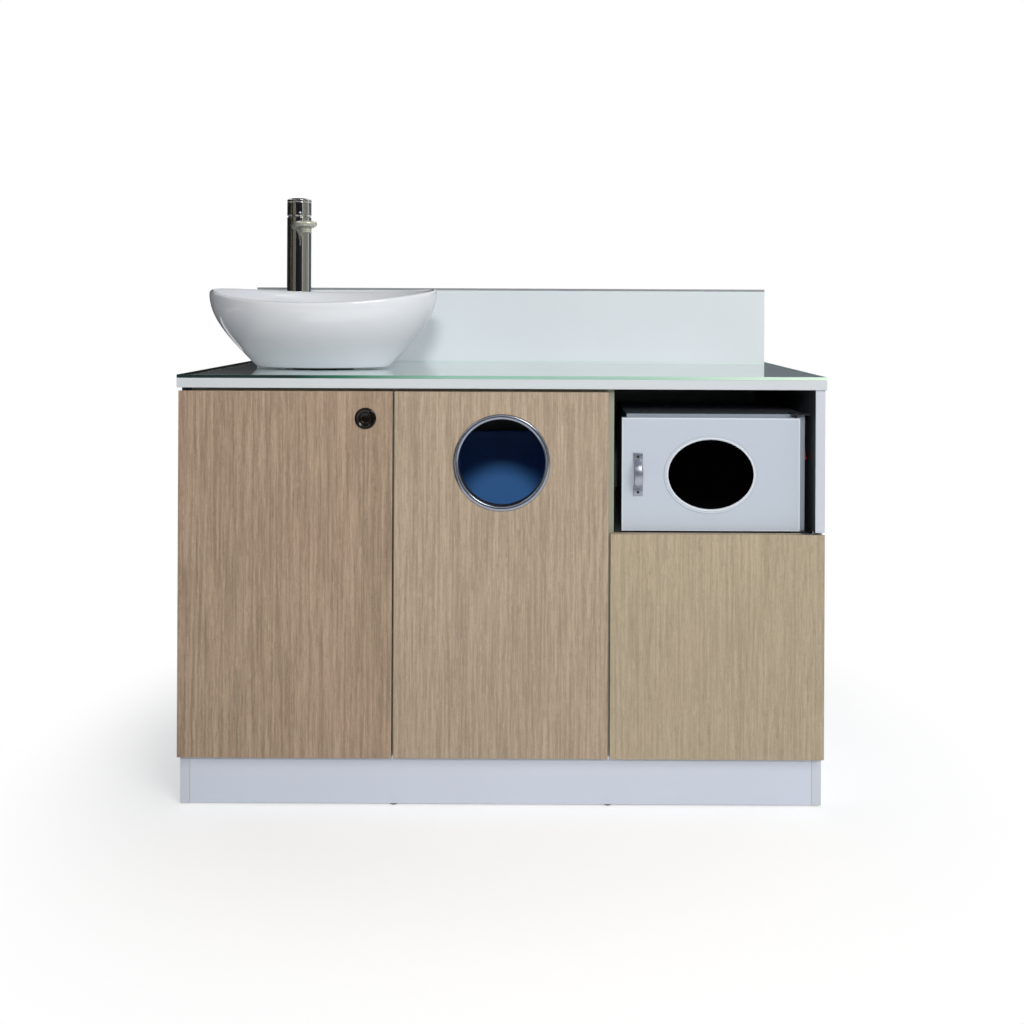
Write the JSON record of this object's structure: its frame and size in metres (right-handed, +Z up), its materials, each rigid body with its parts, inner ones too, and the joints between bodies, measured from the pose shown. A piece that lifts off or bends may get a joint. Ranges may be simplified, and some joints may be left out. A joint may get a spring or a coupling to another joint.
{
  "type": "portable handwash sink",
  "caption": "Floor-standing hand-wash cabinet with a boat-shaped vessel basin, column tap, pull-out waste bin behind a ring, hinged doors and a niche steriliser.",
  "frame": {"origin": "on the floor, under the middle of the worktop in width and in depth", "axes": "+X to the right seen from the front, +Y to the back, +Z up; the fronts face -Y"},
  "size_m": [1.2155, 0.52, 1.175],
  "materials": {
    "white_board": "white melamine-faced board, satin",
    "oak_laminate": "light oak laminate, fine vertical grain, satin",
    "edge_trim": "satin grey metal strip",
    "glass": "clear float glass with a green edge, polished",
    "glazed_ceramic": "white glaze, glossy",
    "rubber": "black rubber",
    "chrome": "polished chrome plate",
    "brass": "plain machined brass",
    "white_plastic": "moulded polypropylene and polyethylene",
    "blue_cap": "blue moulded plastic",
    "steel": "zinc-plated sheet steel",
    "brushed_ring": "brushed stainless steel",
    "bin_blue": "blue moulded polypropylene",
    "bronze": "dark bronze lacquer, glossy",
    "black_plastic": "black moulded plastic",
    "white_steel": "white powder-coated steel",
    "dark_pane": "near-black acrylic pane",
    "pewter": "satin chrome plate",
    "lamp_glass": "frosted lamp glass",
    "switch_red": "red moulded plastic"
  },
  "bodies": {
    "cabinet": {"side_left": "white_board", "side_right": "white_board", "partition_left": "white_board", "partition_right": "white_board", "base_panel": "white_board", "back_panel": "white_board", "plinth_board": "white_board", "top_rails": "white_board", "niche_shelf": "white_board", "floor_glides": "rubber", "worktop_board": "white_board", "glass_top": "glass", "upstand": "white_board", "upstand_trim": "edge_trim", "basin": "glazed_ceramic", "basin_gasket": "rubber", "waste_flange": "chrome", "waste_nut": "brass", "bottle_trap": "white_plastic", "trap_cup": "white_plastic", "waste_pipe": "white_plastic", "waste_container": "white_plastic", "fresh_container": "white_plastic", "container_caps": "blue_cap", "riser_pipe": "white_plastic", "supply_pump": "blue_cap", "tap_body": "chrome", "tap_spout": "chrome", "tap_aerator": "chrome", "tap_cartridge": "brass", "tap_nut": "brass", "pivot_brackets": "steel", "door_catches": "white_plastic", "runner_rails": "steel", "steriliser_casing": "white_steel", "steriliser_feet": "rubber", "steriliser_rack": "steel", "uv_lamp": "lamp_glass", "switch_bezel": "black_plastic", "cord_gland": "black_plastic", "steriliser_hinges": "black_plastic"},
    "tap_handle": {"tap_cap": "chrome"},
    "left_door_leaf": {"left_door": "oak_laminate", "left_catch_plate": "steel", "knob_rosette": "bronze", "knob_housing": "black_plastic"},
    "knob": {"knob_button": "bronze"},
    "right_door_leaf": {"right_door": "oak_laminate", "right_catch_plate": "steel"},
    "runner_travellers": {"runner_middles": "steel"},
    "waste_unit": {"runner_slides": "steel", "bin_carriage": "steel", "waste_bin": "bin_blue", "waste_front": "oak_laminate", "waste_ring": "brushed_ring"},
    "steriliser_leaf": {"steriliser_door": "white_steel", "door_window": "dark_pane", "window_rim": "white_steel", "steriliser_handle": "pewter"},
    "switch_rocker": {"rocker": "switch_red"}
  },
  "joints": [
    {"name": "left_door_hinge", "type": "hinge", "parent": "cabinet", "child": "left_door_leaf", "pos_m": [-0.59, -0.248, 0.434], "axis": [0, 0, -1], "range_deg": [0, 95]},
    {"name": "right_door_hinge", "type": "hinge", "parent": "cabinet", "child": "right_door_leaf", "pos_m": [0.59, -0.248, 0.303], "axis": [0, 0, 1], "range_deg": [0, 95]},
    {"name": "waste_pull", "type": "slide", "parent": "cabinet", "child": "waste_unit", "axis": [0, -1, 0], "range_m": [0, 0.38]},
    {"name": "runner_travel", "type": "slide", "parent": "cabinet", "child": "runner_travellers", "axis": [0, -1, 0], "range_m": [0, 0.19]},
    {"name": "knob_push", "type": "slide", "parent": "left_door_leaf", "child": "knob", "axis": [0, -1, 0], "range_m": [0, 0.01]},
    {"name": "tap_turn", "type": "hinge", "parent": "cabinet", "child": "tap_handle", "pos_m": [-0.483, 0.17, 1.15], "axis": [0, 0, 1], "range_deg": [0, 90]},
    {"name": "steriliser_hinge", "type": "hinge", "parent": "cabinet", "child": "steriliser_leaf", "pos_m": [0.55, -0.229, 0.618], "axis": [0, 0, 1], "range_deg": [0, 95]},
    {"name": "switch_rock", "type": "hinge", "parent": "cabinet", "child": "switch_rocker", "pos_m": [0.57, -0.207, 0.65116], "axis": [0, 1, 0], "range_deg": [0, 18]}
  ],
  "couplings": [
    {"joint": "runner_travel", "follows": "waste_pull", "ratio": 0.5}
  ]
}
